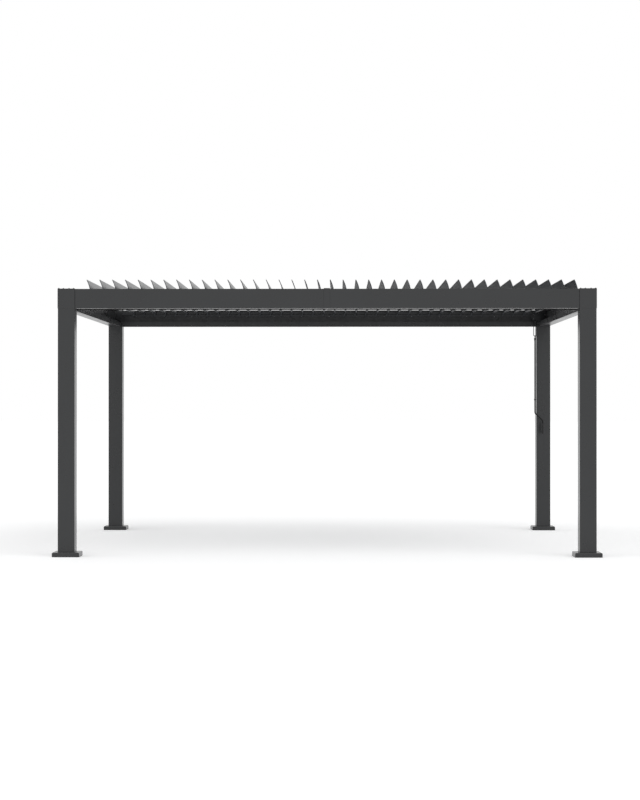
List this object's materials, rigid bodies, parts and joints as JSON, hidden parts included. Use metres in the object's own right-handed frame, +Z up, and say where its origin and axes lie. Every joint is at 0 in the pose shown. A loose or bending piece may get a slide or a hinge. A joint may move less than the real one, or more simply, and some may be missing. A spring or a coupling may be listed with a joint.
{
  "type": "louvered pergola",
  "caption": "Freestanding louvered pergola: four square posts on covered base plates, a gutter beam frame and a roof of tilting louvres turned together by a hanging hand crank.",
  "frame": {"origin": "on the ground, at the middle of the four posts", "axes": "+X to the right along the front beam, +Y from the front to the rear, +Z up"},
  "size_m": [4.894, 4.014, 2.4787],
  "materials": {
    "frame_coat": "anthracite powder coat, fine matt",
    "louvre_coat": "anthracite powder coat, satin",
    "rail_alloy": "extruded, dark anodised",
    "plate_steel": "zinc plated",
    "gear_case": "cast case, black coat",
    "crank_coat": "steel tube, powder coat"
  },
  "bodies": {
    "frame": {"post_front_left": "frame_coat", "post_front_right": "frame_coat", "post_rear_left": "frame_coat", "post_rear_right": "frame_coat", "base_plates": "plate_steel", "base_covers": "frame_coat", "corner_castings": "frame_coat", "corner_caps": "frame_coat", "beam_front_left": "frame_coat", "beam_front_right": "frame_coat", "beam_rear_left": "frame_coat", "beam_rear_right": "frame_coat", "beam_side_left": "frame_coat", "beam_side_right": "frame_coat", "beam_splices": "frame_coat", "pivot_rails": "rail_alloy", "side_flashings": "frame_coat", "crank_gearbox": "gear_case"},
    "louvre_01": {"louvre_01": "louvre_coat"},
    "louvre_02": {"louvre_02": "louvre_coat"},
    "louvre_03": {"louvre_03": "louvre_coat"},
    "louvre_04": {"louvre_04": "louvre_coat"},
    "louvre_05": {"louvre_05": "louvre_coat"},
    "louvre_06": {"louvre_06": "louvre_coat"},
    "louvre_07": {"louvre_07": "louvre_coat"},
    "louvre_08": {"louvre_08": "louvre_coat"},
    "louvre_09": {"louvre_09": "louvre_coat"},
    "louvre_10": {"louvre_10": "louvre_coat"},
    "louvre_11": {"louvre_11": "louvre_coat"},
    "louvre_12": {"louvre_12": "louvre_coat"},
    "louvre_13": {"louvre_13": "louvre_coat"},
    "louvre_14": {"louvre_14": "louvre_coat"},
    "louvre_15": {"louvre_15": "louvre_coat"},
    "louvre_16": {"louvre_16": "louvre_coat"},
    "louvre_17": {"louvre_17": "louvre_coat"},
    "louvre_18": {"louvre_18": "louvre_coat"},
    "louvre_19": {"louvre_19": "louvre_coat"},
    "louvre_20": {"louvre_20": "louvre_coat"},
    "louvre_21": {"louvre_21": "louvre_coat"},
    "louvre_22": {"louvre_22": "louvre_coat"},
    "louvre_23": {"louvre_23": "louvre_coat"},
    "louvre_24": {"louvre_24": "louvre_coat"},
    "louvre_25": {"louvre_25": "louvre_coat"},
    "louvre_26": {"louvre_26": "louvre_coat"},
    "louvre_27": {"louvre_27": "louvre_coat"},
    "louvre_28": {"louvre_28": "louvre_coat"},
    "louvre_29": {"louvre_29": "louvre_coat"},
    "louvre_30": {"louvre_30": "louvre_coat"},
    "louvre_31": {"louvre_31": "louvre_coat"},
    "louvre_32": {"louvre_32": "louvre_coat"},
    "louvre_33": {"louvre_33": "louvre_coat"},
    "louvre_34": {"louvre_34": "louvre_coat"},
    "louvre_35": {"louvre_35": "louvre_coat"},
    "louvre_36": {"louvre_36": "louvre_coat"},
    "louvre_37": {"louvre_37": "louvre_coat"},
    "louvre_38": {"louvre_38": "louvre_coat"},
    "louvre_39": {"louvre_39": "louvre_coat"},
    "control_bar": {"control_bar": "rail_alloy"},
    "drive_lever": {"drive_lever": "rail_alloy"},
    "crank_handle": {"crank_handle": "crank_coat"}
  },
  "joints": [
    {"name": "louvre_01_tilt", "type": "hinge", "parent": "frame", "child": "louvre_01", "pos_m": [-2.12168, 0, 2.359], "axis": [0, -1, 0], "range_deg": [-14, 66.5]},
    {"name": "louvre_02_tilt", "type": "hinge", "parent": "frame", "child": "louvre_02", "pos_m": [-2.00676, 0, 2.359], "axis": [0, -1, 0], "range_deg": [-14, 66.5]},
    {"name": "louvre_03_tilt", "type": "hinge", "parent": "frame", "child": "louvre_03", "pos_m": [-1.89185, 0, 2.359], "axis": [0, -1, 0], "range_deg": [-14, 66.5]},
    {"name": "louvre_04_tilt", "type": "hinge", "parent": "frame", "child": "louvre_04", "pos_m": [-1.77693, 0, 2.359], "axis": [0, -1, 0], "range_deg": [-14, 66.5]},
    {"name": "louvre_05_tilt", "type": "hinge", "parent": "frame", "child": "louvre_05", "pos_m": [-1.66201, 0, 2.359], "axis": [0, -1, 0], "range_deg": [-14, 66.5]},
    {"name": "louvre_06_tilt", "type": "hinge", "parent": "frame", "child": "louvre_06", "pos_m": [-1.54709, 0, 2.359], "axis": [0, -1, 0], "range_deg": [-14, 66.5]},
    {"name": "louvre_07_tilt", "type": "hinge", "parent": "frame", "child": "louvre_07", "pos_m": [-1.43217, 0, 2.359], "axis": [0, -1, 0], "range_deg": [-14, 66.5]},
    {"name": "louvre_08_tilt", "type": "hinge", "parent": "frame", "child": "louvre_08", "pos_m": [-1.31726, 0, 2.359], "axis": [0, -1, 0], "range_deg": [-14, 66.5]},
    {"name": "louvre_09_tilt", "type": "hinge", "parent": "frame", "child": "louvre_09", "pos_m": [-1.20234, 0, 2.359], "axis": [0, -1, 0], "range_deg": [-14, 66.5]},
    {"name": "louvre_10_tilt", "type": "hinge", "parent": "frame", "child": "louvre_10", "pos_m": [-1.08742, 0, 2.359], "axis": [0, -1, 0], "range_deg": [-14, 66.5]},
    {"name": "louvre_11_tilt", "type": "hinge", "parent": "frame", "child": "louvre_11", "pos_m": [-0.9725, 0, 2.359], "axis": [0, -1, 0], "range_deg": [-14, 66.5]},
    {"name": "louvre_12_tilt", "type": "hinge", "parent": "frame", "child": "louvre_12", "pos_m": [-0.85759, 0, 2.359], "axis": [0, -1, 0], "range_deg": [-14, 66.5]},
    {"name": "louvre_13_tilt", "type": "hinge", "parent": "frame", "child": "louvre_13", "pos_m": [-0.74267, 0, 2.359], "axis": [0, -1, 0], "range_deg": [-14, 66.5]},
    {"name": "louvre_14_tilt", "type": "hinge", "parent": "frame", "child": "louvre_14", "pos_m": [-0.62775, 0, 2.359], "axis": [0, -1, 0], "range_deg": [-14, 66.5]},
    {"name": "louvre_15_tilt", "type": "hinge", "parent": "frame", "child": "louvre_15", "pos_m": [-0.51283, 0, 2.359], "axis": [0, -1, 0], "range_deg": [-14, 66.5]},
    {"name": "louvre_16_tilt", "type": "hinge", "parent": "frame", "child": "louvre_16", "pos_m": [-0.39791, 0, 2.359], "axis": [0, -1, 0], "range_deg": [-14, 66.5]},
    {"name": "louvre_17_tilt", "type": "hinge", "parent": "frame", "child": "louvre_17", "pos_m": [-0.28299, 0, 2.359], "axis": [0, -1, 0], "range_deg": [-14, 66.5]},
    {"name": "louvre_18_tilt", "type": "hinge", "parent": "frame", "child": "louvre_18", "pos_m": [-0.16808, 0, 2.359], "axis": [0, -1, 0], "range_deg": [-14, 66.5]},
    {"name": "louvre_19_tilt", "type": "hinge", "parent": "frame", "child": "louvre_19", "pos_m": [-0.05316, 0, 2.359], "axis": [0, -1, 0], "range_deg": [-14, 66.5]},
    {"name": "louvre_20_tilt", "type": "hinge", "parent": "frame", "child": "louvre_20", "pos_m": [0.06176, 0, 2.359], "axis": [0, -1, 0], "range_deg": [-14, 66.5]},
    {"name": "louvre_21_tilt", "type": "hinge", "parent": "frame", "child": "louvre_21", "pos_m": [0.17668, 0, 2.359], "axis": [0, -1, 0], "range_deg": [-14, 66.5]},
    {"name": "louvre_22_tilt", "type": "hinge", "parent": "frame", "child": "louvre_22", "pos_m": [0.29159, 0, 2.359], "axis": [0, -1, 0], "range_deg": [-14, 66.5]},
    {"name": "louvre_23_tilt", "type": "hinge", "parent": "frame", "child": "louvre_23", "pos_m": [0.40651, 0, 2.359], "axis": [0, -1, 0], "range_deg": [-14, 66.5]},
    {"name": "louvre_24_tilt", "type": "hinge", "parent": "frame", "child": "louvre_24", "pos_m": [0.52143, 0, 2.359], "axis": [0, -1, 0], "range_deg": [-14, 66.5]},
    {"name": "louvre_25_tilt", "type": "hinge", "parent": "frame", "child": "louvre_25", "pos_m": [0.63635, 0, 2.359], "axis": [0, -1, 0], "range_deg": [-14, 66.5]},
    {"name": "louvre_26_tilt", "type": "hinge", "parent": "frame", "child": "louvre_26", "pos_m": [0.75127, 0, 2.359], "axis": [0, -1, 0], "range_deg": [-14, 66.5]},
    {"name": "louvre_27_tilt", "type": "hinge", "parent": "frame", "child": "louvre_27", "pos_m": [0.86618, 0, 2.359], "axis": [0, -1, 0], "range_deg": [-14, 66.5]},
    {"name": "louvre_28_tilt", "type": "hinge", "parent": "frame", "child": "louvre_28", "pos_m": [0.9811, 0, 2.359], "axis": [0, -1, 0], "range_deg": [-14, 66.5]},
    {"name": "louvre_29_tilt", "type": "hinge", "parent": "frame", "child": "louvre_29", "pos_m": [1.09602, 0, 2.359], "axis": [0, -1, 0], "range_deg": [-14, 66.5]},
    {"name": "louvre_30_tilt", "type": "hinge", "parent": "frame", "child": "louvre_30", "pos_m": [1.21094, 0, 2.359], "axis": [0, -1, 0], "range_deg": [-14, 66.5]},
    {"name": "louvre_31_tilt", "type": "hinge", "parent": "frame", "child": "louvre_31", "pos_m": [1.32586, 0, 2.359], "axis": [0, -1, 0], "range_deg": [-14, 66.5]},
    {"name": "louvre_32_tilt", "type": "hinge", "parent": "frame", "child": "louvre_32", "pos_m": [1.44077, 0, 2.359], "axis": [0, -1, 0], "range_deg": [-14, 66.5]},
    {"name": "louvre_33_tilt", "type": "hinge", "parent": "frame", "child": "louvre_33", "pos_m": [1.55569, 0, 2.359], "axis": [0, -1, 0], "range_deg": [-14, 66.5]},
    {"name": "louvre_34_tilt", "type": "hinge", "parent": "frame", "child": "louvre_34", "pos_m": [1.67061, 0, 2.359], "axis": [0, -1, 0], "range_deg": [-14, 66.5]},
    {"name": "louvre_35_tilt", "type": "hinge", "parent": "frame", "child": "louvre_35", "pos_m": [1.78553, 0, 2.359], "axis": [0, -1, 0], "range_deg": [-14, 66.5]},
    {"name": "louvre_36_tilt", "type": "hinge", "parent": "frame", "child": "louvre_36", "pos_m": [1.90045, 0, 2.359], "axis": [0, -1, 0], "range_deg": [-14, 66.5]},
    {"name": "louvre_37_tilt", "type": "hinge", "parent": "frame", "child": "louvre_37", "pos_m": [2.01536, 0, 2.359], "axis": [0, -1, 0], "range_deg": [-14, 66.5]},
    {"name": "louvre_38_tilt", "type": "hinge", "parent": "frame", "child": "louvre_38", "pos_m": [2.13028, 0, 2.359], "axis": [0, -1, 0], "range_deg": [-14, 66.5]},
    {"name": "louvre_39_tilt", "type": "hinge", "parent": "frame", "child": "louvre_39", "pos_m": [2.2452, 0, 2.359], "axis": [0, -1, 0], "range_deg": [-14, 66.5]},
    {"name": "control_bar_pin", "type": "hinge", "parent": "louvre_01", "child": "control_bar", "pos_m": [-2.13672, 1.838, 2.32851], "axis": [0, -1, 0], "range_deg": [-66.5, 14]},
    {"name": "drive_lever_turn", "type": "hinge", "parent": "frame", "child": "drive_lever", "pos_m": [2.295, 1.838, 2.359], "axis": [0, -1, 0], "range_deg": [-14, 66.5]},
    {"name": "crank_turn", "type": "hinge", "parent": "frame", "child": "crank_handle", "pos_m": [2.223, 1.7, 2.2], "axis": [0, 0, 1], "range_deg": [-168, 798]}
  ],
  "couplings": [
    {"joint": "louvre_02_tilt", "follows": "louvre_01_tilt", "ratio": 1},
    {"joint": "louvre_03_tilt", "follows": "louvre_01_tilt", "ratio": 1},
    {"joint": "louvre_04_tilt", "follows": "louvre_01_tilt", "ratio": 1},
    {"joint": "louvre_05_tilt", "follows": "louvre_01_tilt", "ratio": 1},
    {"joint": "louvre_06_tilt", "follows": "louvre_01_tilt", "ratio": 1},
    {"joint": "louvre_07_tilt", "follows": "louvre_01_tilt", "ratio": 1},
    {"joint": "louvre_08_tilt", "follows": "louvre_01_tilt", "ratio": 1},
    {"joint": "louvre_09_tilt", "follows": "louvre_01_tilt", "ratio": 1},
    {"joint": "louvre_10_tilt", "follows": "louvre_01_tilt", "ratio": 1},
    {"joint": "louvre_11_tilt", "follows": "louvre_01_tilt", "ratio": 1},
    {"joint": "louvre_12_tilt", "follows": "louvre_01_tilt", "ratio": 1},
    {"joint": "louvre_13_tilt", "follows": "louvre_01_tilt", "ratio": 1},
    {"joint": "louvre_14_tilt", "follows": "louvre_01_tilt", "ratio": 1},
    {"joint": "louvre_15_tilt", "follows": "louvre_01_tilt", "ratio": 1},
    {"joint": "louvre_16_tilt", "follows": "louvre_01_tilt", "ratio": 1},
    {"joint": "louvre_17_tilt", "follows": "louvre_01_tilt", "ratio": 1},
    {"joint": "louvre_18_tilt", "follows": "louvre_01_tilt", "ratio": 1},
    {"joint": "louvre_19_tilt", "follows": "louvre_01_tilt", "ratio": 1},
    {"joint": "louvre_20_tilt", "follows": "louvre_01_tilt", "ratio": 1},
    {"joint": "louvre_21_tilt", "follows": "louvre_01_tilt", "ratio": 1},
    {"joint": "louvre_22_tilt", "follows": "louvre_01_tilt", "ratio": 1},
    {"joint": "louvre_23_tilt", "follows": "louvre_01_tilt", "ratio": 1},
    {"joint": "louvre_24_tilt", "follows": "louvre_01_tilt", "ratio": 1},
    {"joint": "louvre_25_tilt", "follows": "louvre_01_tilt", "ratio": 1},
    {"joint": "louvre_26_tilt", "follows": "louvre_01_tilt", "ratio": 1},
    {"joint": "louvre_27_tilt", "follows": "louvre_01_tilt", "ratio": 1},
    {"joint": "louvre_28_tilt", "follows": "louvre_01_tilt", "ratio": 1},
    {"joint": "louvre_29_tilt", "follows": "louvre_01_tilt", "ratio": 1},
    {"joint": "louvre_30_tilt", "follows": "louvre_01_tilt", "ratio": 1},
    {"joint": "louvre_31_tilt", "follows": "louvre_01_tilt", "ratio": 1},
    {"joint": "louvre_32_tilt", "follows": "louvre_01_tilt", "ratio": 1},
    {"joint": "louvre_33_tilt", "follows": "louvre_01_tilt", "ratio": 1},
    {"joint": "louvre_34_tilt", "follows": "louvre_01_tilt", "ratio": 1},
    {"joint": "louvre_35_tilt", "follows": "louvre_01_tilt", "ratio": 1},
    {"joint": "louvre_36_tilt", "follows": "louvre_01_tilt", "ratio": 1},
    {"joint": "louvre_37_tilt", "follows": "louvre_01_tilt", "ratio": 1},
    {"joint": "louvre_38_tilt", "follows": "louvre_01_tilt", "ratio": 1},
    {"joint": "louvre_39_tilt", "follows": "louvre_01_tilt", "ratio": 1},
    {"joint": "control_bar_pin", "follows": "louvre_01_tilt", "ratio": -1},
    {"joint": "drive_lever_turn", "follows": "louvre_01_tilt", "ratio": 1},
    {"joint": "crank_turn", "follows": "louvre_01_tilt", "ratio": 12}
  ]
}
